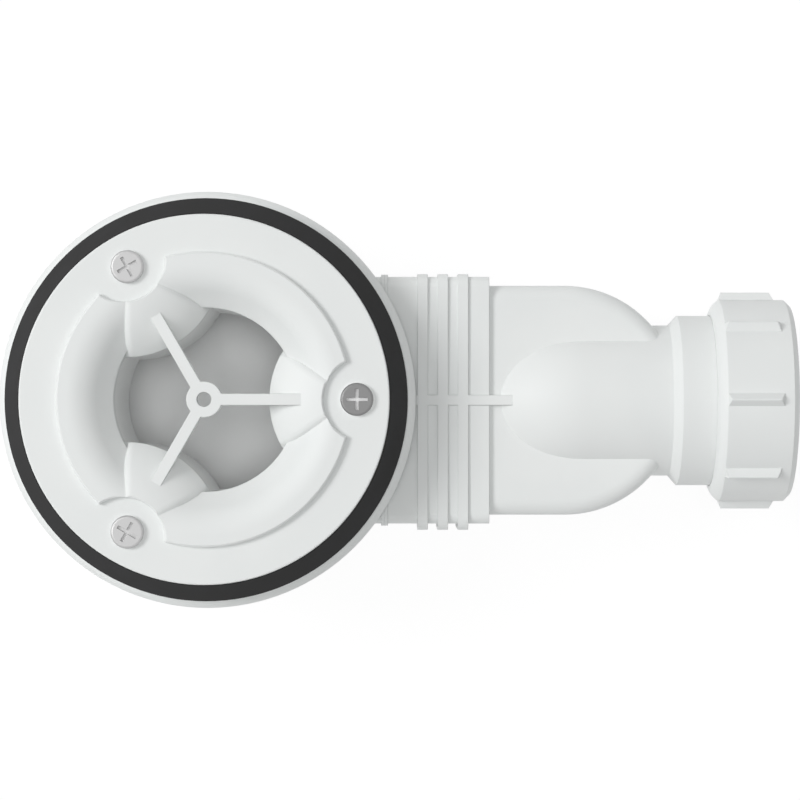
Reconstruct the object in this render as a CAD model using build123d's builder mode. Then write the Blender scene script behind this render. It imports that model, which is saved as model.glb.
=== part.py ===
from build123d import *
from math import acos, asin, cos, degrees, radians, sin, sqrt, tan
import os

os.makedirs("parts", exist_ok=True)

# The mouth's land is at Z = 0, the bowl's axis is Z and the outlet runs along +X.
# Depths are counted down from the land, in millimetres.

# Bowl
bowl_inner_radius = 46.0
bowl_wall = 2.5
floor_thickness = 2.0
foot_height = 1.0
foot_width = 6.0
base_round = 1.0
dip_gap = 6.0
water_seal = 33.0
weir_gap = 5.4
weir_wall = 2.0
boss_radius = 5.0
boss_length = 20.0

# Rim of the bowl, with the ledge that carries the tray seal and the flange below it
rim_seat_width = 4.4
rim_lip_width = 2.1
rim_lip_drop = 4.6
rim_edge_drop = 0.7
rim_edge_bevel = 0.9
rim_skirt = 3.2
rim_wall = 2.5
rim_rib_count = 24
rim_rib_width = 1.6

# Tapered seal under the tray
seal_side_gap = 0.1
seal_top_depth = 0.3
seal_width = 4.8
seal_slope_height = 8.7
seal_band_height = 2.5
seal_foot_width = 1.8

# Clamp plate
plate_flange_thickness = 4.0
plate_thickness = 7.5
land_edge_round = 0.5
register_clearance = 0.5

# Dip insert: bell mouth, dip tube and spider
insert_inset = 5.9
insert_notch_radius = 11.3
insert_crown_height = 1.9
insert_lip_width = 1.6
mouth_reach = 14.9
mouth_crown_width = 3.0
mouth_round = 10.5
mouth_slope = 45.0
lobe_round = 24.5
lobe_crown_slope = 10.0
lobe_slope = 48.0
lobe_edge_round = 2.4
bell_depth = 11.0
insert_wall = 2.0
insert_edge_bevel = 0.5
insert_skirt_depth = 3.5
insert_clearance = 0.3
dip_tube_setback = 0.5
hub_radius = 4.85
hub_bore_radius = 2.0
hub_height = 4.5
spoke_width = 3.1
spoke_height = 3.5

# Gasket under the insert's skirt
gasket_thickness = 1.5
gasket_ledge_width = 2.2
gasket_side_gap = 0.1

# Plate screws, each in a lug of the plate
lug_count = 3
lug_offset = 2.15
screw_inset = 4.5
screw_shank_radius = 2.15
screw_hole_clearance = 0.35
screw_pilot_clearance = 0.05
screw_tip_clearance = 2.0
screw_head_radius = 4.5
screw_head_height = 1.7
screw_head_round = 0.7
screw_length = 20.0
screw_tip_height = 3.0
screw_tip_taper = 30.0
recess_span = 5.8
recess_width = 0.9
recess_depth = 0.8

# Outlet duct: collar and chamber
port_reach = 0.35
duct_wall = 2.5
inner_edge_round = 0.5
weld_flange_thickness = 0.95
weld_flange_height = 0.6
collar_gap = 4.5
collar_half_width = 34.5
collar_length = 29.25
collar_edge_round = 3.0
collar_step = 1.4
band_count = 3
band_offset = 9.2
band_pitch = 5.63
band_height = 0.75
band_reach = 1.0
band_width = 2.9
spine_width = 2.8
chamber_half_width = 32.1
chamber_straight = 21.3
chamber_edge_round = 4.2
chamber_drop = 0.2

# Outlet pipe, its elbow back and the threaded spigot
outlet_drop = 13.6
neck_step = 2.7
neck_wall = 2.7
neck_length = 5.6
neck_chamfer_length = 2.4
elbow_radius = 17.7
elbow_offset = 5.2
spigot_radius = 24.0
spigot_length = 24.6
spigot_mouth_chamfer = 0.8
spigot_wall = 3.7
pipe_clearance = 0.3
socket_depth = 23.0

# Compression nut with its rubber washer and slip ring
thread_clearance = 0.12
thread_length = 19.3
nut_wall = 4.38
nut_shoulder_length = 2.6
nut_shoulder_bulge = 0.6
nut_end_wall = 3.0
nut_end_chamfer = 1.5
nut_hole_clearance = 1.0
nut_floor_gap = 0.4
grip_count = 8
grip_height = 2.1
grip_width = 3.5
grip_crest = 0.5
grip_root = 0.5
grip_length = 15.5
grip_start_slope = 0.8
grip_end_slope = 1.1
washer_thickness = 2.6
washer_side_gap = 0.4
washer_pipe_clearance = 0.2
slip_ring_thickness = 1.4
slip_ring_pipe_clearance = 0.6

# Radii that follow, from the bowl outwards and inwards
bowl_outer_radius = bowl_inner_radius + bowl_wall
register_radius = bowl_inner_radius - register_clearance
land_radius = bowl_inner_radius + rim_seat_width
seal_inner_radius = land_radius + seal_side_gap
seal_outer_radius = seal_inner_radius + seal_width
seal_foot_radius = seal_outer_radius - seal_foot_width
rim_lip_radius = seal_outer_radius + seal_side_gap
rim_radius = rim_lip_radius + rim_lip_width
rim_rib_start = bowl_inner_radius + bowl_wall / 2
rim_rib_length = rim_radius - rim_wall / 2 - rim_rib_start
screw_pitch_radius = bowl_inner_radius - screw_inset
screw_hole_radius = screw_shank_radius + screw_hole_clearance
screw_pilot_radius = screw_shank_radius + screw_pilot_clearance
lug_pitch_radius = screw_pitch_radius + lug_offset
lug_radius = insert_notch_radius + insert_lip_width - insert_clearance
insert_radius = bowl_inner_radius - insert_inset
plate_opening_radius = insert_radius - insert_lip_width + insert_clearance
throat_radius = insert_radius - mouth_reach
lobe_radius = insert_notch_radius + mouth_reach
lobe_half_angle = degrees(
    acos((lug_pitch_radius**2 + lobe_radius**2 - throat_radius**2) / (2 * lug_pitch_radius * lobe_radius))
)
dip_outer_radius = throat_radius + dip_tube_setback + insert_wall
dip_outer_bite = lobe_radius - dip_tube_setback - insert_wall
spoke_reach = lug_pitch_radius - insert_notch_radius - insert_wall
weir_inner_radius = dip_outer_radius + weir_gap
neck_radius = spigot_radius - neck_step
outlet_bore_radius = neck_radius - neck_wall
socket_radius = spigot_radius - spigot_wall
pipe_radius = socket_radius - pipe_clearance
nut_bore_radius = spigot_radius + thread_clearance
nut_radius = nut_bore_radius + nut_wall
nut_hole_radius = pipe_radius + nut_hole_clearance
washer_radius = nut_bore_radius - washer_side_gap
grip_top = nut_radius + grip_height
grip_foot = sqrt(nut_radius**2 - (grip_width / 2) ** 2)

# Depths that follow, from the land down to the base
gasket_ledge_depth = insert_skirt_depth + gasket_thickness
seal_shoulder_depth = seal_top_depth + seal_slope_height
seal_foot_depth = seal_shoulder_depth + seal_band_height
rim_lip_depth = seal_shoulder_depth + rim_lip_drop
rim_edge_depth = rim_lip_depth + rim_edge_drop
rim_bottom_depth = rim_edge_depth + rim_skirt
rim_web_depth = rim_lip_depth + rim_wall
collar_top_depth = rim_bottom_depth + collar_gap
chamber_top_depth = collar_top_depth + collar_step
outlet_depth = chamber_top_depth + outlet_drop
chamber_bottom_depth = outlet_depth + neck_radius + chamber_drop
collar_bottom_depth = chamber_bottom_depth + collar_step
base_depth = outlet_depth + grip_top + nut_floor_gap
bowl_depth = base_depth - foot_height - floor_thickness
dip_tube_depth = bowl_depth - dip_gap
dip_tube_top_depth = bell_depth - insert_wall / 2
weir_depth = dip_tube_depth - water_seal
pilot_depth = screw_length + screw_tip_clearance - plate_thickness
spine_drop = collar_step + band_height + duct_wall / 2

# Places along the outlet that follow, from the bowl to the nut's end
weld_plane = bowl_outer_radius + port_reach
collar_end = weld_plane + collar_length
band_start = weld_plane + band_offset
chamber_round_centre = collar_end + chamber_straight
elbow_end = chamber_round_centre + elbow_offset
neck_end = chamber_round_centre + sqrt(chamber_half_width**2 - neck_radius**2) + neck_length
spigot_start = neck_end + neck_chamfer_length
spigot_end = spigot_start + spigot_length
socket_stop = spigot_end - socket_depth
slip_ring_start = spigot_end + washer_thickness
nut_wall_start = slip_ring_start + slip_ring_thickness
nut_end = nut_wall_start + nut_end_wall
grip_start = nut_wall_start - thread_length + nut_shoulder_length
spine_length = elbow_end - elbow_radius - weld_plane
outlet_axis = Axis((0, 0, -outlet_depth), (1, 0, 0))


def trefoil_shape(radius, bite):
    """Add a round face with a round bite at each lug to the open sketch."""
    Circle(radius)
    with PolarLocations(lug_pitch_radius, lug_count):
        Circle(bite, mode=Mode.SUBTRACT)


def trefoil(depth, radius, bite):
    """Sketch the three-lobed face at a depth below the land."""
    with BuildSketch(Plane.XY.offset(-depth)) as face:
        trefoil_shape(radius, bite)
    return face.sketch


def trefoil_band(depth, radius, bite, width):
    """Sketch a band of one width just inside the three-lobed outline, at a depth below the land."""
    with BuildSketch() as inside:
        trefoil_shape(radius - width, bite + width)
    with BuildSketch(Plane.XY.offset(-depth)) as face:
        trefoil_shape(radius, bite)
        add(inside.sketch, mode=Mode.SUBTRACT)
    return face.sketch


def across_outlet(x):
    """Plane across the outlet's axis at x, with its own X axis up."""
    return Plane(origin=(x, 0, -outlet_depth), x_dir=(0, 0, 1), z_dir=(1, 0, 0))


def collar_section(x, growth, reach=0):
    """Sketch the collar's rounded rectangle at x, grown on every side and reaching further towards -Y."""
    centre_depth = (collar_top_depth + collar_bottom_depth) / 2
    height = collar_bottom_depth - collar_top_depth
    with BuildSketch(Plane(origin=(x, 0, -centre_depth), x_dir=(0, 1, 0), z_dir=(1, 0, 0))) as face:
        corner = max(collar_edge_round + growth, inner_edge_round)
        with Locations((-reach / 2, 0)):
            RectangleRounded(2 * (collar_half_width + growth) + reach, height + 2 * growth, corner)
    return face.sketch


def chamber_block(inset):
    """Chamber with a round end and rounded edges, from inside the collar, drawn in by inset all round."""
    half_width = chamber_half_width - inset
    length = chamber_straight + collar_length - 2 * duct_wall
    with BuildPart() as block:
        with BuildSketch(Plane.XY.offset(inset - chamber_bottom_depth)):
            with Locations((chamber_round_centre, 0)):
                Rectangle(length, 2 * half_width, align=(Align.MAX, Align.CENTER))
                Circle(half_width)
        extrude(amount=chamber_bottom_depth - chamber_top_depth - 2 * inset)
        edge_round = max(chamber_edge_round - inset, inner_edge_round)
        fillet(block.edges().filter_by(Axis.Z, reverse=True), edge_round)
    return block.part


def elbow_back(radius):
    """Back of the elbow that turns down from the outlet's axis, for a pipe of the given radius."""
    with BuildPart() as elbow:
        with BuildSketch(across_outlet(elbow_end)):
            Circle(radius)
            with Locations((-elbow_radius, 0)):
                Rectangle(2 * radius, 2 * radius, align=(Align.MAX, Align.CENTER), mode=Mode.SUBTRACT)
        bend = Axis((elbow_end, 0, -outlet_depth - elbow_radius), (0, -1, 0))
        revolve(axis=bend, revolution_arc=90)
    return elbow.part


def roll_section(plane, flat, radius, first_slope, last_slope, skin):
    """Sketch a mouth roll's section on a plane whose X runs in from its edge, drawn in by skin."""
    reach = mouth_reach - skin
    tilt = radians(first_slope)
    centre = (flat - radius * sin(tilt), insert_crown_height - radius * cos(tilt))
    with BuildSketch(plane) as face:
        with BuildLine():
            arc = CenterArc(centre, radius - skin, 90 - last_slope, last_slope - first_slope)
            foot = arc @ 0
            crest = arc @ 1
            Polyline(
                crest,
                (-insert_wall, crest.Y),
                (-insert_wall, -bell_depth),
                (reach, -bell_depth),
                (reach, foot.Y - (reach - foot.X) * tan(radians(last_slope))),
                foot,
            )
        make_face()
    return face.sketch


def mouth_lobe(skin):
    """Lobe of the bell mouth round a lug, as a wedge of a roll that points away from the bowl's axis."""
    edge = Plane(origin=(insert_notch_radius, 0, 0), x_dir=(1, 0, 0), z_dir=(0, -1, 0))
    section = roll_section(edge, 0, lobe_round, lobe_crown_slope, lobe_slope, skin)
    half_angle = lobe_half_angle - degrees(asin(skin / (insert_notch_radius + skin)))
    with BuildPart() as lobe:
        revolve(section, axis=Axis.Z, revolution_arc=2 * half_angle)
        sides = lobe.faces().filter_by(GeomType.PLANE).filter_by(Axis.Z, reverse=True)
        fillet(sides.edges().filter_by(GeomType.CIRCLE), lobe_edge_round)
    return lobe.part.rotate(Axis.Z, 180 - half_angle)


def bell_mouth(skin, setback):
    """Solid bell mouth with three lobes, drawn in from its surface by skin and from its edge by setback."""
    edge = Plane(origin=(insert_radius, 0, 0), x_dir=(-1, 0, 0), z_dir=(0, 1, 0))
    lobe = mouth_lobe(skin)
    with BuildPart() as bell:
        revolve(roll_section(edge, mouth_crown_width, mouth_round, 0, mouth_slope, skin), axis=Axis.Z)
        with PolarLocations(lug_pitch_radius, lug_count):
            add(lobe)
        outline = trefoil(bell_depth, insert_radius - setback, insert_notch_radius + setback)
        extrude(outline, amount=bell_depth + insert_crown_height, mode=Mode.INTERSECT)
    return bell.part


def edge_bevel(radius, outward):
    """Ring that cuts the bevel along the insert's crown, for an edge that faces outward or inward."""
    near = radius + outward * insert_edge_bevel
    far = radius - 2 * outward * insert_edge_bevel
    top = insert_crown_height + insert_edge_bevel
    bottom = insert_crown_height - 2 * insert_edge_bevel
    with BuildPart() as ring:
        with BuildSketch(Plane.XZ):
            with BuildLine():
                Polyline((far, top), (near, top), (near, bottom), close=True)
            make_face()
        revolve(axis=Axis.Z)
    return ring.part


# Clamp plate: land, register, mouth with a gasket ledge, screw holes
with BuildPart() as clamp_plate:
    with BuildSketch():
        Circle(land_radius)
    extrude(amount=-plate_flange_thickness)
    fillet(clamp_plate.edges().group_by(Axis.Z)[-1], land_edge_round)
    with BuildSketch():
        Circle(register_radius)
    extrude(amount=-plate_thickness)
    extrude(trefoil(0, plate_opening_radius, lug_radius), amount=-gasket_ledge_depth, mode=Mode.SUBTRACT)
    throat = trefoil(0, plate_opening_radius - gasket_ledge_width, lug_radius + gasket_ledge_width)
    extrude(throat, amount=-plate_thickness, mode=Mode.SUBTRACT)
    with PolarLocations(screw_pitch_radius, lug_count):
        Hole(screw_hole_radius)
clamp_plate.part.label = "clamp_plate"
export_step(clamp_plate.part, "parts/clamp_plate.step")

# Dip insert: bell mouth and spider hollowed to one wall, with the dip tube under it
bell_outside = bell_mouth(0, 0)
bell_inside = bell_mouth(insert_wall, insert_lip_width + insert_wall)
with BuildPart() as dip_insert:
    add(bell_outside)
    add(edge_bevel(insert_radius, 1), mode=Mode.SUBTRACT)
    with PolarLocations(lug_pitch_radius, lug_count):
        add(edge_bevel(insert_notch_radius, -1), mode=Mode.SUBTRACT)
    with BuildSketch():
        with PolarLocations(0, lug_count):
            Rectangle(spoke_reach, spoke_width, align=(Align.MIN, Align.CENTER))
    extrude(amount=-spoke_height)
    add(bell_inside, mode=Mode.SUBTRACT)
    below_lip = trefoil_band(0, insert_radius, insert_notch_radius, insert_lip_width)
    extrude(below_lip, amount=-insert_skirt_depth, mode=Mode.SUBTRACT)
    skirt_width = insert_lip_width + 2 * insert_wall
    below_skirt = trefoil_band(insert_skirt_depth, insert_radius, insert_notch_radius, skirt_width)
    extrude(below_skirt, amount=insert_skirt_depth - bell_depth, mode=Mode.SUBTRACT)
    with BuildSketch():
        Circle(hub_radius)
    extrude(amount=-hub_height)
    Hole(hub_bore_radius)
    tube = trefoil_band(dip_tube_top_depth, dip_outer_radius, dip_outer_bite, insert_wall)
    extrude(tube, amount=dip_tube_top_depth - dip_tube_depth)
dip_insert.part.label = "dip_insert"
export_step(dip_insert.part, "parts/dip_insert.step")

# Gasket on the plate's ledge, under the insert's skirt
with BuildPart() as insert_gasket:
    gasket_radius = plate_opening_radius - gasket_side_gap
    gasket_bite = lug_radius + gasket_side_gap
    gasket_width = gasket_ledge_width - gasket_side_gap
    ring = trefoil_band(gasket_ledge_depth, gasket_radius, gasket_bite, gasket_width)
    extrude(ring, amount=gasket_thickness)
insert_gasket.part.label = "insert_gasket"
export_step(insert_gasket.part, "parts/insert_gasket.step")

# Tapered seal that stands on the rim's ledge, round the plate
with BuildPart() as tray_seal:
    with BuildSketch(Plane.XZ):
        with BuildLine():
            Polyline(
                (seal_inner_radius, -seal_top_depth),
                (seal_outer_radius, -seal_shoulder_depth),
                (seal_outer_radius, -seal_foot_depth),
                (seal_foot_radius, -seal_foot_depth),
                (seal_inner_radius, -plate_flange_thickness),
                close=True,
            )
        make_face()
    revolve(axis=Axis.Z)
tray_seal.part.label = "tray_seal"
export_step(tray_seal.part, "parts/tray_seal.step")

# Bowl: rim with ledge and flange, wall, floor on a foot ring, port, weir and screw bosses
with BuildPart() as bowl_body:
    with BuildSketch(Plane.XZ):
        with BuildLine():
            Polyline(
                (0, -bowl_depth),
                (bowl_inner_radius, -bowl_depth),
                (bowl_inner_radius, -plate_flange_thickness),
                (land_radius - seal_side_gap, -plate_flange_thickness),
                (seal_foot_radius - seal_side_gap, -seal_foot_depth),
                (rim_lip_radius, -seal_foot_depth),
                (rim_lip_radius, -rim_lip_depth),
                (rim_radius - rim_edge_bevel, -rim_edge_depth),
                (rim_radius, -rim_edge_depth - rim_edge_bevel),
                (rim_radius, -rim_bottom_depth),
                (rim_radius - rim_wall, -rim_bottom_depth),
                (rim_radius - rim_wall, -rim_web_depth),
                (seal_foot_radius - rim_wall, -rim_web_depth),
                (bowl_outer_radius, -plate_flange_thickness - rim_wall),
                (bowl_outer_radius, -base_depth),
                (bowl_outer_radius - foot_width, -base_depth),
                (bowl_outer_radius - foot_width, foot_height - base_depth),
                (0, foot_height - base_depth),
                close=True,
            )
        make_face()
    revolve(axis=Axis.Z)
    fillet(bowl_body.edges().group_by(Axis.Z)[0].sort_by(SortBy.LENGTH)[-1], base_round)
    extrude(collar_section(0, 0), amount=weld_plane)
    extrude(collar_section(weld_plane, weld_flange_height), amount=-weld_flange_thickness)
    with BuildSketch(Plane.XY.offset(-bowl_depth)):
        Circle(bowl_inner_radius)
    extrude(amount=bowl_depth - plate_flange_thickness, mode=Mode.SUBTRACT)
    extrude(collar_section(0, -duct_wall), amount=weld_plane, mode=Mode.SUBTRACT)
    with BuildSketch(Plane.XY.offset(-bowl_depth)):
        Circle(weir_inner_radius + weir_wall)
        Circle(weir_inner_radius, mode=Mode.SUBTRACT)
    extrude(amount=bowl_depth - weir_depth)
    with BuildSketch(Plane.XY.offset(-plate_thickness)):
        with PolarLocations(screw_pitch_radius, lug_count):
            Circle(boss_radius)
    extrude(amount=-boss_length)
    with BuildSketch(Plane.XY.offset(-rim_bottom_depth)):
        with PolarLocations(rim_rib_start, rim_rib_count):
            Rectangle(rim_rib_length, rim_rib_width, align=(Align.MIN, Align.CENTER))
    extrude(amount=rim_bottom_depth - rim_web_depth)
    with Locations((0, 0, -plate_thickness)):
        with PolarLocations(screw_pitch_radius, lug_count):
            Hole(screw_pilot_radius, depth=pilot_depth)
bowl_body.part.label = "bowl_body"
export_step(bowl_body.part, "parts/bowl_body.step")

# Outlet duct: collar with bands, chamber, elbow back, neck and spigot, hollowed as one passage
chamber_outside = chamber_block(0)
chamber_inside = chamber_block(duct_wall)
elbow_outside = elbow_back(neck_radius)
elbow_inside = elbow_back(outlet_bore_radius)
with BuildPart() as outlet_duct:
    extrude(collar_section(weld_plane, 0), amount=collar_end - weld_plane)
    extrude(collar_section(weld_plane, weld_flange_height), amount=weld_flange_thickness)
    for band in range(band_count):
        extrude(collar_section(band_start + band * band_pitch, band_height, band_reach), amount=band_width)
    add(chamber_outside)
    add(elbow_outside)
    with BuildSketch(Plane.XZ):
        with BuildLine():
            Polyline(
                (elbow_end, -outlet_depth),
                (elbow_end, neck_radius - outlet_depth),
                (neck_end, neck_radius - outlet_depth),
                (spigot_start, spigot_radius - outlet_depth),
                (spigot_end - spigot_mouth_chamfer, spigot_radius - outlet_depth),
                (spigot_end, spigot_radius - spigot_mouth_chamfer - outlet_depth),
                (spigot_end, -outlet_depth),
                close=True,
            )
        make_face()
    revolve(axis=outlet_axis)
    with BuildSketch(Plane.XZ):
        with Locations((weld_plane, band_height - collar_top_depth)):
            Rectangle(spine_length, spine_drop, align=(Align.MIN, Align.MAX))
    extrude(amount=spine_width / 2, both=True)
    collar_bore = collar_section(weld_plane, -duct_wall)
    extrude(collar_bore, amount=collar_end - duct_wall - weld_plane, mode=Mode.SUBTRACT)
    add(chamber_inside, mode=Mode.SUBTRACT)
    add(elbow_inside, mode=Mode.SUBTRACT)
    with BuildSketch(across_outlet(elbow_end)):
        Circle(outlet_bore_radius)
    extrude(amount=spigot_end - elbow_end, mode=Mode.SUBTRACT)
    with BuildSketch(across_outlet(socket_stop)):
        Circle(socket_radius)
    extrude(amount=spigot_end - socket_stop, mode=Mode.SUBTRACT)
outlet_duct.part.label = "outlet_duct"
export_step(outlet_duct.part, "parts/outlet_duct.step")

# Grip teeth of the nut, sloped off at both ends
with BuildSketch() as tooth:
    with BuildLine():
        Polyline(
            (grip_foot - grip_root, -grip_width / 2),
            (grip_foot, -grip_width / 2),
            (grip_top, -grip_crest / 2),
            (grip_top, grip_crest / 2),
            (grip_foot, grip_width / 2),
            (grip_foot - grip_root, grip_width / 2),
            close=True,
        )
    make_face()
with BuildPart() as grips:
    with BuildSketch(across_outlet(grip_start)):
        with PolarLocations(0, grip_count):
            add(tooth.sketch)
    extrude(amount=grip_length)
    with BuildSketch(Plane.XZ):
        with BuildLine():
            Polyline(
                (grip_start, -outlet_depth),
                (grip_start, nut_radius - outlet_depth),
                (grip_start + grip_start_slope, grip_top - outlet_depth),
                (grip_start + grip_length - grip_end_slope, grip_top - outlet_depth),
                (grip_start + grip_length, nut_radius - outlet_depth),
                (grip_start + grip_length, -outlet_depth),
                close=True,
            )
        make_face()
    revolve(axis=outlet_axis, mode=Mode.INTERSECT)

# Compression nut: bulging shoulder, thread bore, end wall and grip teeth
with BuildPart() as compression_nut:
    with BuildSketch(Plane.XZ):
        with BuildLine():
            shoulder_top = (grip_start, nut_radius - outlet_depth)
            shoulder_foot = (grip_start - nut_shoulder_length, nut_bore_radius - outlet_depth)
            shoulder = SagittaArc(shoulder_foot, shoulder_top, nut_shoulder_bulge)
            Polyline(
                shoulder @ 1,
                (nut_end, nut_radius - outlet_depth),
                (nut_end, nut_hole_radius - outlet_depth),
                (nut_wall_start, nut_hole_radius - outlet_depth),
                (nut_wall_start, nut_bore_radius - outlet_depth),
                shoulder @ 0,
            )
        make_face()
    revolve(axis=outlet_axis)
    chamfer(compression_nut.edges().group_by(Axis.X)[-1].sort_by(SortBy.LENGTH)[-1], nut_end_chamfer)
    add(grips.part)
compression_nut.part.label = "compression_nut"
export_step(compression_nut.part, "parts/compression_nut.step")

# Rubber washer against the spigot's end
with BuildPart() as pipe_seal:
    with BuildSketch(across_outlet(spigot_end)):
        Circle(washer_radius)
        Circle(pipe_radius + washer_pipe_clearance, mode=Mode.SUBTRACT)
    extrude(amount=washer_thickness)
pipe_seal.part.label = "pipe_seal"
export_step(pipe_seal.part, "parts/pipe_seal.step")

# Slip ring between the washer and the nut's end wall
with BuildPart() as slip_ring:
    with BuildSketch(across_outlet(slip_ring_start)):
        Circle(washer_radius)
        Circle(pipe_radius + slip_ring_pipe_clearance, mode=Mode.SUBTRACT)
    extrude(amount=slip_ring_thickness)
slip_ring.part.label = "slip_ring"
export_step(slip_ring.part, "parts/slip_ring.step")

# Plate screws: round head with a cross recess on a pointed shank, one in each lug
with BuildPart() as screw:
    with BuildSketch():
        Circle(screw_head_radius)
    extrude(amount=screw_head_height)
    fillet(screw.edges().group_by(Axis.Z)[-1], screw_head_round)
    with BuildSketch():
        Circle(screw_shank_radius)
    extrude(amount=screw_tip_height - screw_length)
    with BuildSketch(Plane.XY.offset(screw_tip_height - screw_length)):
        Circle(screw_shank_radius)
    extrude(amount=-screw_tip_height, taper=screw_tip_taper)
    with BuildSketch(Plane.XY.offset(screw_head_height)):
        with PolarLocations(0, 2, angular_range=180):
            Rectangle(recess_span, recess_width)
    extrude(amount=-recess_depth, mode=Mode.SUBTRACT)
for number, place in enumerate(PolarLocations(screw_pitch_radius, lug_count).locations, start=1):
    plate_screw = screw.part.moved(place)
    plate_screw.label = f"plate_screw_{number}"
    export_step(plate_screw, f"parts/plate_screw_{number}.step")
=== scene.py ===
import logging
import math
from dataclasses import dataclass, field
from enum import Enum

import bpy
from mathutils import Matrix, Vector

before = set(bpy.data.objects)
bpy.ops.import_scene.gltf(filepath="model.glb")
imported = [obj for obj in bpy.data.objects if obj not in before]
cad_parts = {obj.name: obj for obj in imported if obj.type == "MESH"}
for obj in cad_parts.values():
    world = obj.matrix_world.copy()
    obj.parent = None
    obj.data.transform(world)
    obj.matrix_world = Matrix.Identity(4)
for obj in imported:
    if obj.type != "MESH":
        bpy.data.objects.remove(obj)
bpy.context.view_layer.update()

LOG = logging.getLogger("water_seal_trap")
MM = 0.001
HALF = 0.5

Colour = tuple[float, float, float]
Point = tuple[float, float, float]

WHITE: Colour = (1.0, 1.0, 1.0)
IN_PLAN: Point = (1.0, 1.0, 0.0)
EDGE_SAMPLES = 4
MIX_FACTOR, MIX_START, MIX_END = 0, 6, 7
MIX_COLOUR = 2


class Axis(Enum):
    """Directions that the finishes and the sky measure along."""

    X = "X"
    Z = "Z"


class Slot(Enum):
    """Material slots of the record."""

    BODY = "body_white"
    DUCT = "duct_white"
    PLATE = "plate_white"
    INSERT = "insert_white"
    NUT = "nut_white"
    SEAL = "seal_black"
    GASKET = "gasket_rubber"
    WASHER = "washer_rubber"
    RING = "ring_nylon"
    SCREW = "screw_steel"
    SHADED_SCREW = "screw_steel_shaded"


class Sum(Enum):
    """Operations of a Math node that the finishes use."""

    ADD = "ADD"
    SUBTRACT = "SUBTRACT"
    MULTIPLY = "MULTIPLY"
    DIVIDE = "DIVIDE"
    SINE = "SINE"
    MAXIMUM = "MAXIMUM"


class Value:
    """One socket of a shader, with arithmetic that adds Math nodes to its tree."""

    def __init__(self, graph: "ShaderGraph", socket: bpy.types.NodeSocket) -> None:
        """Wrap a socket.

        Args:
            graph: The shader that the socket belongs to.
            socket: The output socket to wrap.
        """
        self.graph = graph
        self.socket = socket

    def __add__(self, other: "Value | float") -> "Value":
        """Sum of the two values."""
        return self.graph.maths(Sum.ADD, self, other)

    def __radd__(self, other: float) -> "Value":
        """Sum with a number on the left."""
        return self.graph.maths(Sum.ADD, other, self)

    def __sub__(self, other: "Value | float") -> "Value":
        """Difference of the two values."""
        return self.graph.maths(Sum.SUBTRACT, self, other)

    def __rsub__(self, other: float) -> "Value":
        """Difference with a number on the left."""
        return self.graph.maths(Sum.SUBTRACT, other, self)

    def __mul__(self, other: "Value | float") -> "Value":
        """Product of the two values."""
        return self.graph.maths(Sum.MULTIPLY, self, other)

    def __rmul__(self, other: float) -> "Value":
        """Product with a number on the left."""
        return self.graph.maths(Sum.MULTIPLY, other, self)

    def __truediv__(self, other: "Value | float") -> "Value":
        """Quotient of the two values."""
        return self.graph.maths(Sum.DIVIDE, self, other)

    def __rtruediv__(self, other: float) -> "Value":
        """Quotient with a number on the left."""
        return self.graph.maths(Sum.DIVIDE, other, self)


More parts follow.
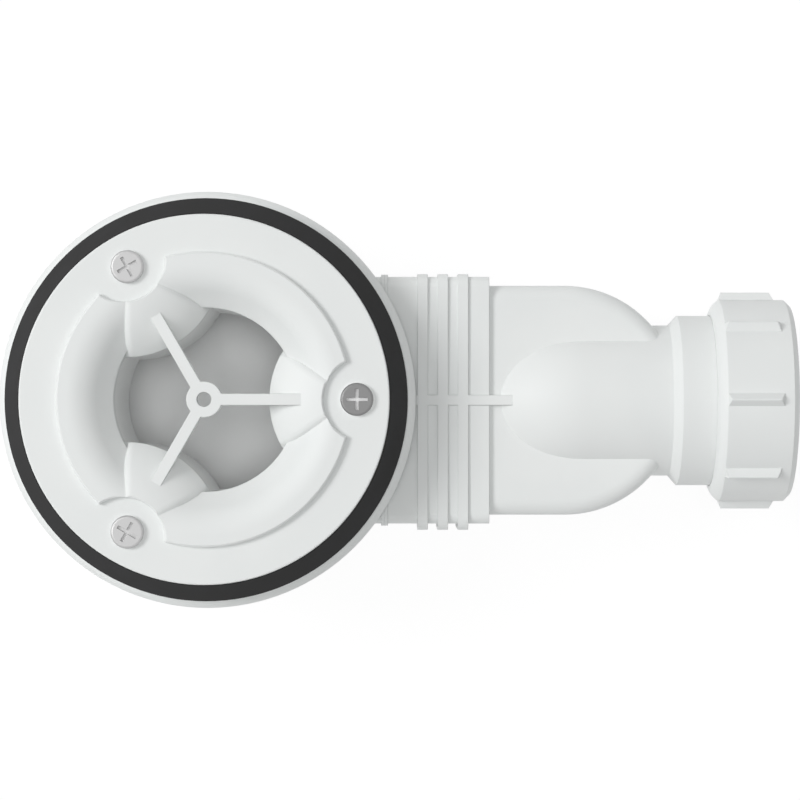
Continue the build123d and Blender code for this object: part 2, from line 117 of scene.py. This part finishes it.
class ShaderGraph:
    """Node tree of a material or a world, built from typed calls."""

    def __init__(self, tree: bpy.types.NodeTree) -> None:
        """Empty the tree and keep it.

        Args:
            tree: The node tree to build in.
        """
        self.tree = tree
        tree.nodes.clear()

    def node(
        self,
        kind: str,
        settings: dict[str, object] | None = None,
        sockets: dict[str | int, object] | None = None,
    ) -> bpy.types.Node:
        """Add a node, set it up, then fill its sockets.

        Args:
            kind: Blender's type name for the node.
            settings: Properties of the node, set before the sockets.
            sockets: Values, colours or links for its inputs, by name or number.

        Returns:
            The new node.
        """
        made = self.tree.nodes.new(kind)
        for name, setting in (settings or {}).items():
            setattr(made, name, setting)
        for key, value in (sockets or {}).items():
            if isinstance(value, Value):
                self.tree.links.new(value.socket, made.inputs[key])
            elif isinstance(value, tuple) and made.inputs[key].type == "RGBA":
                made.inputs[key].default_value = (*value, 1.0)
            else:
                made.inputs[key].default_value = value
        return made

    def read(self, node: bpy.types.Node, output: str | int = 0) -> Value:
        """Output of a node as a value."""
        return Value(self, node.outputs[output])

    def maths(self, operation: Sum, first: "Value | float", second: "Value | float" = 0.0) -> Value:
        """Result of a Math node on values or numbers."""
        settings = {"operation": operation.value}
        return self.read(self.node("ShaderNodeMath", settings, {0: first, 1: second}))

    def wave(self, run: Value) -> Value:
        """Sine of a value, brought to the span from 0 to 1."""
        return self.maths(Sum.SINE, run) * HALF + HALF

    def blend(self, factor: Value, start: "Value | Colour", end: "Value | Colour") -> Value:
        """Colour that runs from start to end as the factor goes from 0 to 1."""
        sockets = {MIX_FACTOR: factor, MIX_START: start, MIX_END: end}
        return self.read(self.node("ShaderNodeMix", {"data_type": "RGBA"}, sockets), MIX_COLOUR)

    def place(self) -> Value:
        """Point on the object, in metres in the part's own frame."""
        return self.read(self.node("ShaderNodeTexCoord"), "Object")

    def offset(self, place: Value, centre: Point) -> Value:
        """Vector from a fixed centre to a point."""
        settings = {"operation": "SUBTRACT"}
        return self.read(self.node("ShaderNodeVectorMath", settings, {0: place, 1: centre}))

    def length(self, vector: Value) -> Value:
        """Length of a vector."""
        settings = {"operation": "LENGTH"}
        return self.read(self.node("ShaderNodeVectorMath", settings, {0: vector}), "Value")

    def plan_radius(self, place: Value) -> Value:
        """Distance of a point from the upright axis."""
        settings = {"operation": "MULTIPLY"}
        return self.length(self.read(self.node("ShaderNodeVectorMath", settings, {0: place, 1: IN_PLAN})))

    def along(self, vector: Value, axis: Axis) -> Value:
        """Part of a vector along one axis."""
        return self.read(self.node("ShaderNodeSeparateXYZ", None, {0: vector}), axis.value)

    def noise(self, place: Value, grain: float, detail: float = 2.0) -> Value:
        """Soft noise from 0 to 1.

        Args:
            place: Where the noise is read.
            grain: Size of one blotch, in metres.
            detail: Number of finer layers.

        Returns:
            The noise value.
        """
        sockets = {"Vector": place, "Scale": 1.0 / grain, "Detail": detail}
        return self.read(self.node("ShaderNodeTexNoise", None, sockets), 0)

    def ramp(self, value: Value, start: float, end: float) -> Value:
        """Value eased from 0 at start to 1 at end."""
        settings = {"interpolation_type": "SMOOTHSTEP"}
        return self.read(self.node("ShaderNodeMapRange", settings, {0: value, 1: start, 2: end}))

    def bump(self, height: Value, strength: float, depth: float, edge_round: float) -> Value:
        """Normal with a fine relief over softly rounded edges.

        Args:
            height: Relief from 0 to 1.
            strength: Share of the relief that shows.
            depth: Height of the relief, in metres.
            edge_round: Radius that edges are softened by, in metres.

        Returns:
            The normal.
        """
        edge = self.read(self.node("ShaderNodeBevel", {"samples": EDGE_SAMPLES}, {"Radius": edge_round}))
        sockets = {"Strength": strength, "Distance": depth, "Height": height, "Normal": edge}
        return self.read(self.node("ShaderNodeBump", None, sockets))

    def straight_rays(self) -> Value:
        """Tell the rays that should meet the plain white background.

        Returns:
            1 for rays from the camera, from gloss and through clear pieces, else 0.
        """
        path = self.node("ShaderNodeLightPath")
        seen = self.read(path, "Is Camera Ray")
        for kind in ("Is Glossy Ray", "Is Transmission Ray"):
            seen = self.maths(Sum.MAXIMUM, seen, self.read(path, kind))
        return seen


def new_material(name: str) -> tuple[bpy.types.Material, ShaderGraph]:
    """Make an empty node material.

    Args:
        name: Name of the material.

    Returns:
        The material and its shader graph.
    """
    material = bpy.data.materials.new(name)
    material.use_nodes = True
    return material, ShaderGraph(material.node_tree)


def finish_surface(graph: ShaderGraph, sockets: dict[str | int, object]) -> None:
    """Put a Principled surface on a material.

    Args:
        graph: The material's shader graph.
        sockets: Values and links of the Principled node.
    """
    shader = graph.node("ShaderNodeBsdfPrincipled", None, sockets)
    graph.node("ShaderNodeOutputMaterial", None, {"Surface": graph.read(shader)})


@dataclass(frozen=True)
class MouldedPlastic:
    """White satin plastic with a fine mould grain and faint flow marks round its gate."""

    name: str
    gate: Point
    colour: Colour = (0.806, 0.824, 0.816)
    flow_colour: Colour = (0.786, 0.806, 0.800)
    roughness: float = 0.52
    roughness_spread: float = 0.1
    gloss: float = 0.3
    refraction: float = 1.49
    grain: float = 0.45 * MM
    grain_detail: float = 3.0
    grain_depth: float = 0.03 * MM
    grain_strength: float = 0.25
    cloud: float = 22.0 * MM
    cloud_detail: float = 3.0
    flow_pitch: float = 7.0 * MM
    flow_waver: float = 5.0
    flow_share: float = 0.3
    flow_sheen: float = 0.4
    marks_from: float = 0.25
    marks_to: float = 0.75
    edge_round: float = 0.35 * MM

    def material(self) -> bpy.types.Material:
        """Build the material.

        Returns:
            The material.
        """
        made, graph = new_material(self.name)
        place = graph.place()
        cloud = graph.noise(place, self.cloud, self.cloud_detail)
        run = graph.length(graph.offset(place, self.gate)) / self.flow_pitch
        flow = graph.wave(run + cloud * self.flow_waver)
        streaks = cloud * (1 - self.flow_share) + flow * self.flow_share
        marks = graph.ramp(streaks, self.marks_from, self.marks_to)
        grain = graph.noise(place, self.grain, self.grain_detail)
        sheen = flow * self.flow_sheen + grain * (1 - self.flow_sheen) - HALF
        finish_surface(graph, {
            "Base Color": self.tint(graph, place, marks),
            "Roughness": self.roughness + sheen * self.roughness_spread,
            "IOR": self.refraction,
            "Specular IOR Level": self.gloss,
            "Normal": graph.bump(grain, self.grain_strength, self.grain_depth, self.edge_round),
        })
        return made

    def tint(self, graph: ShaderGraph, place: Value, marks: Value) -> Value:
        """Colour of the plastic.

        Args:
            graph: The material's shader graph.
            place: Point on the object.
            marks: Strength of the flow marks, from 0 to 1.

        Returns:
            The colour.
        """
        return graph.blend(marks, self.colour, self.flow_colour)


@dataclass(frozen=True)
class PaintedWellLightPlastic(MouldedPlastic):
    """The same plastic with painted light: a brighter white on the faces inside the bowl stands in for
    light reaching down into it.
    """

    painted_light_colour: Colour = (0.93, 0.938, 0.934)
    painted_light_flow_colour: Colour = (0.915, 0.924, 0.92)
    painted_light_radius: float = 46.1 * MM
    painted_light_top: float = -11.0 * MM
    painted_light_bottom: float = -66.0 * MM
    painted_light_fade: float = 1.0 * MM

    def tint(self, graph: ShaderGraph, place: Value, marks: Value) -> Value:
        """Colour of the plastic, with painted light making it a brighter white inside the bowl.

        Args:
            graph: The material's shader graph.
            place: Point on the object.
            marks: Strength of the flow marks, from 0 to 1.

        Returns:
            The colour.
        """
        outside = super().tint(graph, place, marks)
        painted_light = graph.blend(marks, self.painted_light_colour, self.painted_light_flow_colour)
        height = graph.along(place, Axis.Z)
        radius = graph.plan_radius(place)
        above = graph.ramp(height, self.painted_light_top - self.painted_light_fade, self.painted_light_top)
        over_floor = graph.ramp(height, self.painted_light_bottom, self.painted_light_bottom + self.painted_light_fade)
        beyond = graph.ramp(radius, self.painted_light_radius, self.painted_light_radius + self.painted_light_fade)
        # Painted light: faces inside the bowl, between the top and the floor and within the radius, blend
        # to the brighter white.
        return graph.blend((1 - above) * over_floor * (1 - beyond), outside, painted_light)


@dataclass(frozen=True)
class MouldedRubber:
    """Black rubber with a dusty bloom and a fine grain."""

    name: str
    colour: Colour = (0.029, 0.029, 0.029)
    bloom_colour: Colour = (0.041, 0.041, 0.042)
    roughness: float = 0.72
    bloom_roughness: float = 0.15
    gloss: float = 0.12
    refraction: float = 1.5
    cloud: float = 9.0 * MM
    cloud_detail: float = 4.0
    grain: float = 0.6 * MM
    grain_share: float = 0.25
    grain_depth: float = 0.03 * MM
    grain_strength: float = 0.35
    bloom_from: float = 0.35
    bloom_to: float = 0.7
    edge_round: float = 0.3 * MM

    def material(self) -> bpy.types.Material:
        """Build the material.

        Returns:
            The material.
        """
        made, graph = new_material(self.name)
        place = graph.place()
        cloud = graph.noise(place, self.cloud, self.cloud_detail)
        grain = graph.noise(place, self.grain)
        dust = cloud * (1 - self.grain_share) + grain * self.grain_share
        bloom = graph.ramp(dust, self.bloom_from, self.bloom_to)
        finish_surface(graph, {
            "Base Color": graph.blend(bloom, self.colour, self.bloom_colour),
            "Roughness": self.roughness + bloom * self.bloom_roughness,
            "IOR": self.refraction,
            "Specular IOR Level": self.gloss,
            "Normal": graph.bump(grain, self.grain_strength, self.grain_depth, self.edge_round),
        })
        return made


@dataclass(frozen=True)
class TurnedSteel:
    """Stainless screw with turning marks round its own axis and painted light in its recess: a paler
    colour there stands in for the recess's bright reflection.
    """

    name: str
    axis: tuple[float, float]
    colour: Colour = (0.50, 0.50, 0.50)
    recess_painted_light_colour: Colour = (0.58, 0.58, 0.58)
    head_top: float = 1.7 * MM
    recess_depth: float = 0.8 * MM
    recess_start: float = 0.28 * MM
    cloud: float = 1.3 * MM
    cloud_detail: float = 3.0
    cloud_roughness: float = 0.1
    mark_pitch: float = 0.16 * MM
    mark_waver: float = 4.0
    mark_depth: float = 0.01 * MM
    mark_strength: float = 0.2
    mark_roughness: float = 0.08
    roughness: float = 0.46
    edge_round: float = 0.15 * MM

    def material(self) -> bpy.types.Material:
        """Build the material.

        Returns:
            The material.
        """
        made, graph = new_material(self.name)
        place = graph.place()
        reach = graph.offset(place, (*self.axis, 0.0))
        depth = self.head_top - graph.along(reach, Axis.Z)
        painted_recess_light = graph.ramp(depth, self.recess_start, self.recess_depth)
        turns = graph.plan_radius(reach) / self.mark_pitch
        cloud = graph.noise(place, self.cloud, self.cloud_detail)
        marks = graph.wave(turns * math.tau + cloud * self.mark_waver)
        finish_surface(graph, {
            # Painted light: the recess gets a paler colour than the head, a painted reflection.
            "Base Color": graph.blend(painted_recess_light, self.colour, self.recess_painted_light_colour),
            "Metallic": 1.0,
            "Roughness": self.roughness + marks * self.mark_roughness + cloud * self.cloud_roughness,
            "Normal": graph.bump(marks, self.mark_strength, self.mark_depth, self.edge_round),
        })
        return made


@dataclass(frozen=True)
class NaturalNylon:
    """Smooth uncoloured nylon with faint yellow clouds."""

    name: str
    colour: Colour = (0.78, 0.775, 0.745)
    cloud_colour: Colour = (0.72, 0.71, 0.66)
    roughness: float = 0.28
    refraction: float = 1.53
    cloud: float = 6.0 * MM
    cloud_from: float = 0.3
    cloud_to: float = 0.7
    grain: float = 0.5 * MM
    grain_depth: float = 0.02 * MM
    grain_strength: float = 0.15
    grain_roughness: float = 0.12
    edge_round: float = 0.2 * MM

    def material(self) -> bpy.types.Material:
        """Build the material.

        Returns:
            The material.
        """
        made, graph = new_material(self.name)
        place = graph.place()
        clouds = graph.ramp(graph.noise(place, self.cloud), self.cloud_from, self.cloud_to)
        grain = graph.noise(place, self.grain)
        finish_surface(graph, {
            "Base Color": graph.blend(clouds, self.colour, self.cloud_colour),
            "Roughness": self.roughness + grain * self.grain_roughness,
            "IOR": self.refraction,
            "Normal": graph.bump(grain, self.grain_strength, self.grain_depth, self.edge_round),
        })
        return made


Finish = MouldedPlastic | MouldedRubber | TurnedSteel | NaturalNylon


def dress(node: str, finish: Finish) -> None:
    """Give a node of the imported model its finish.

    Args:
        node: Name of the node.
        finish: The finish to build and assign.
    """
    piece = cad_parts[node]
    material = finish.material()
    if not piece.material_slots:
        piece.data.materials.append(material)
    for holder in piece.material_slots:
        holder.material = material
    LOG.info("%s: %s", node, finish.name)


@dataclass
class MouthAssembly:
    """Bowl with its clamped mouth: plate, dip insert, gasket, tray seal and screws."""

    screw_circle_radius: float = 41.5 * MM
    screw_count: int = 3
    # Outlet-side screw: painted shade on its head, painted light in its recess.
    painted_shade_screw_colour: Colour = (0.25, 0.25, 0.25)
    shaded_screw_painted_recess_light: Colour = (0.68, 0.68, 0.68)
    bowl_gate: Point = (0.0, 0.0, -68 * MM)
    plate_gate: Point = (-45 * MM, 0.0, 0.0)
    insert_gate: Point = (0.0, 0.0, 0.0)

    def screw_axis(self, number: int) -> tuple[float, float]:
        """Place of a screw's axis in plan, counted from the outlet's side."""
        angle = number * math.tau / self.screw_count
        return self.screw_circle_radius * math.cos(angle), self.screw_circle_radius * math.sin(angle)

    def dress(self) -> None:
        """Give every piece of the mouth its finish."""
        # Bowl and insert carry painted light: a brighter white on their faces inside the bowl.
        dress("bowl_body", PaintedWellLightPlastic(Slot.BODY.value, self.bowl_gate))
        dress("clamp_plate", MouldedPlastic(Slot.PLATE.value, self.plate_gate))
        dress("dip_insert", PaintedWellLightPlastic(Slot.INSERT.value, self.insert_gate))
        dress("insert_gasket", MouldedRubber(Slot.GASKET.value))
        dress("tray_seal", MouldedRubber(Slot.SEAL.value))
        for number in range(self.screw_count):
            dress(f"plate_screw_{number + 1}", self.screw_finish(number))

    def screw_finish(self, number: int) -> TurnedSteel:
        """Finish of one screw: the one on the outlet's side gets painted shade, a darker copy of the same
        steel.

        Args:
            number: Which screw, counted from the outlet's side.

        Returns:
            The screw's finish.
        """
        axis = self.screw_axis(number)
        if number == 0:
            # Painted shade: the outlet-side screw is a darker copy of the steel with a paler painted
            # recess.
            return TurnedSteel(Slot.SHADED_SCREW.value, axis, self.painted_shade_screw_colour, self.shaded_screw_painted_recess_light)
        return TurnedSteel(f"{Slot.SCREW.value}_{number + 1}", axis)


@dataclass
class OutletRun:
    """Outlet duct: collar with bands, chamber, elbow back and spigot."""

    gate: Point = (99.4 * MM, 0.0, -24 * MM)

    def dress(self) -> None:
        """Give the duct its finish."""
        dress("outlet_duct", MouldedPlastic(Slot.DUCT.value, self.gate))


@dataclass
class CompressionJoint:
    """Nut on the outlet, with the washer and the slip ring inside it."""

    gate: Point = (163 * MM, 0.0, -37 * MM)

    def dress(self) -> None:
        """Give the nut and its inner rings their finishes."""
        dress("compression_nut", MouldedPlastic(Slot.NUT.value, self.gate))
        dress("pipe_seal", MouldedRubber(Slot.WASHER.value))
        dress("slip_ring", NaturalNylon(Slot.RING.value))


@dataclass
class Studio:
    """White studio: lit floor, sky, a soft key light, a soft top light and the camera above."""

    floor_level: float = -68 * MM
    floor_half: float = 3.0
    floor_colour: Colour = (0.86, 0.86, 0.86)
    floor_cloud_colour: Colour = (0.84, 0.84, 0.84)
    floor_cloud: float = 0.4
    floor_fill: float = 0.4
    floor_glow: float = 0.89
    glow_strength: float = 1.04
    camera_place: Point = (53.18 * MM, -6.94 * MM, 800 * MM)
    pixels_per_mm: float = 3.687
    picture_side: float = 800.0
    sensor: float = 36.0
    pixels_up: float = 25.0
    near_clip: float = 0.01
    far_clip: float = 20.0
    key_azimuth: float = 166.0
    key_elevation: float = 45.0
    key_distance: float = 4.0
    key_size: float = 1.75
    key_power: float = 77.4
    top_distance: float = 4.0
    top_size: float = 1.25
    top_power: float = 31.6
    sky_left: float = 0.50
    sky_right: float = 0.34
    shown: list[str] = field(default_factory=list)

    def build(self) -> None:
        """Make the floor, the sky, the two lights and the camera."""
        self.add_floor()
        self.add_sky()
        self.add_key()
        self.add_top()
        self.add_camera()
        LOG.info("studio: %s", ", ".join(self.shown))

    def add_floor(self) -> None:
        """Lay a pale floor under the base, white to the camera apart from the object's shadow."""
        half, level = self.floor_half, self.floor_level
        mesh = bpy.data.meshes.new("studio_floor")
        corners = [(x * half, y * half, level) for x, y in ((-1, -1), (1, -1), (1, 1), (-1, 1))]
        mesh.from_pydata(corners, [], [(0, 1, 2, 3)])
        floor = bpy.data.objects.new("studio_floor", mesh)
        bpy.context.scene.collection.objects.link(floor)
        material, graph = new_material("studio_floor")
        cloud = graph.noise(graph.place(), self.floor_cloud)
        paper = graph.node("ShaderNodeBsdfDiffuse", None, {
            "Color": graph.blend(cloud, self.floor_colour, self.floor_cloud_colour),
        })
        glow = graph.node("ShaderNodeEmission", None, {"Color": WHITE, "Strength": self.glow_strength})
        mix = graph.node("ShaderNodeMixShader", None, {
            0: graph.straight_rays() * (self.floor_glow - self.floor_fill) + self.floor_fill,
            1: graph.read(paper),
            2: graph.read(glow),
        })
        graph.node("ShaderNodeOutputMaterial", None, {"Surface": graph.read(mix)})
        mesh.materials.append(material)
        self.shown.append("floor")

    def add_sky(self) -> None:
        """Light the scene from all round, a little more from the left, in front of plain white."""
        world = bpy.data.worlds.new("studio_sky")
        bpy.context.scene.world = world
        world.use_nodes = True
        graph = ShaderGraph(world.node_tree)
        direction = graph.read(graph.node("ShaderNodeTexCoord"), "Generated")
        side = graph.along(direction, Axis.X) * HALF + HALF
        left, right = (self.sky_left,) * 3, (self.sky_right,) * 3
        light = graph.node("ShaderNodeBackground", None, {"Color": graph.blend(side, left, right)})
        white = graph.node("ShaderNodeBackground", None, {"Color": WHITE})
        mix = graph.node("ShaderNodeMixShader", None, {
            0: graph.straight_rays(),
            1: graph.read(light),
            2: graph.read(white),
        })
        graph.node("ShaderNodeOutputWorld", None, {"Surface": graph.read(mix)})
        self.shown.append("sky")

    def add_key(self) -> None:
        """Hang the soft key light up on the left."""
        azimuth, elevation = math.radians(self.key_azimuth), math.radians(self.key_elevation)
        towards = Vector((
            math.cos(azimuth) * math.cos(elevation),
            math.sin(azimuth) * math.cos(elevation),
            math.sin(elevation),
        ))
        self.hang_lamp("key_light", towards * self.key_distance, self.key_size, self.key_power)

    def add_top(self) -> None:
        """Hang the soft top light that reaches down into the mouth."""
        reach = Vector((0.0, 0.0, self.top_distance))
        lamp = self.hang_lamp("top_light", reach, self.top_size, self.top_power)
        lamp.visible_glossy = False

    def hang_lamp(self, name: str, reach: Vector, size: float, power: float) -> bpy.types.Object:
        """Hang a round soft light that looks at the middle of the object.

        Args:
            name: Name of the light.
            reach: From the object's middle to the light, in metres.
            size: Width of the light, in metres.
            power: Power of the light, in watts.

        Returns:
            The light's object.
        """
        data = bpy.data.lights.new(name, "AREA")
        data.shape = "DISK"
        data.size = size
        data.energy = power
        lamp = bpy.data.objects.new(name, data)
        lamp.location = Vector((self.camera_place[0], 0.0, 0.0)) + reach
        lamp.rotation_mode = "QUATERNION"
        lamp.rotation_quaternion = (-reach).to_track_quat("-Z", "Y")
        bpy.context.scene.collection.objects.link(lamp)
        self.shown.append(name.replace("_", " "))
        return lamp

    def add_camera(self) -> None:
        """Hang the camera straight above, framed as in the picture."""
        data = bpy.data.cameras.new("picture_camera")
        data.sensor_width = self.sensor
        focal_pixels = self.pixels_per_mm * self.camera_place[2] / MM
        data.lens = focal_pixels / self.picture_side * self.sensor
        data.shift_y = self.pixels_up / self.picture_side
        data.clip_start = self.near_clip
        data.clip_end = self.far_clip
        camera = bpy.data.objects.new("picture_camera", data)
        camera.location = self.camera_place
        bpy.context.scene.collection.objects.link(camera)
        bpy.context.scene.camera = camera
        self.shown.append("camera")


def main() -> None:
    """Dress the trap, then build the studio round it."""
    logging.basicConfig(level=logging.INFO, format="%(name)s %(message)s")
    bpy.context.scene.view_settings.view_transform = "Standard"
    for assembly in (MouthAssembly(), OutletRun(), CompressionJoint()):
        assembly.dress()
    Studio().build()


if __name__ == "__main__":
    main()
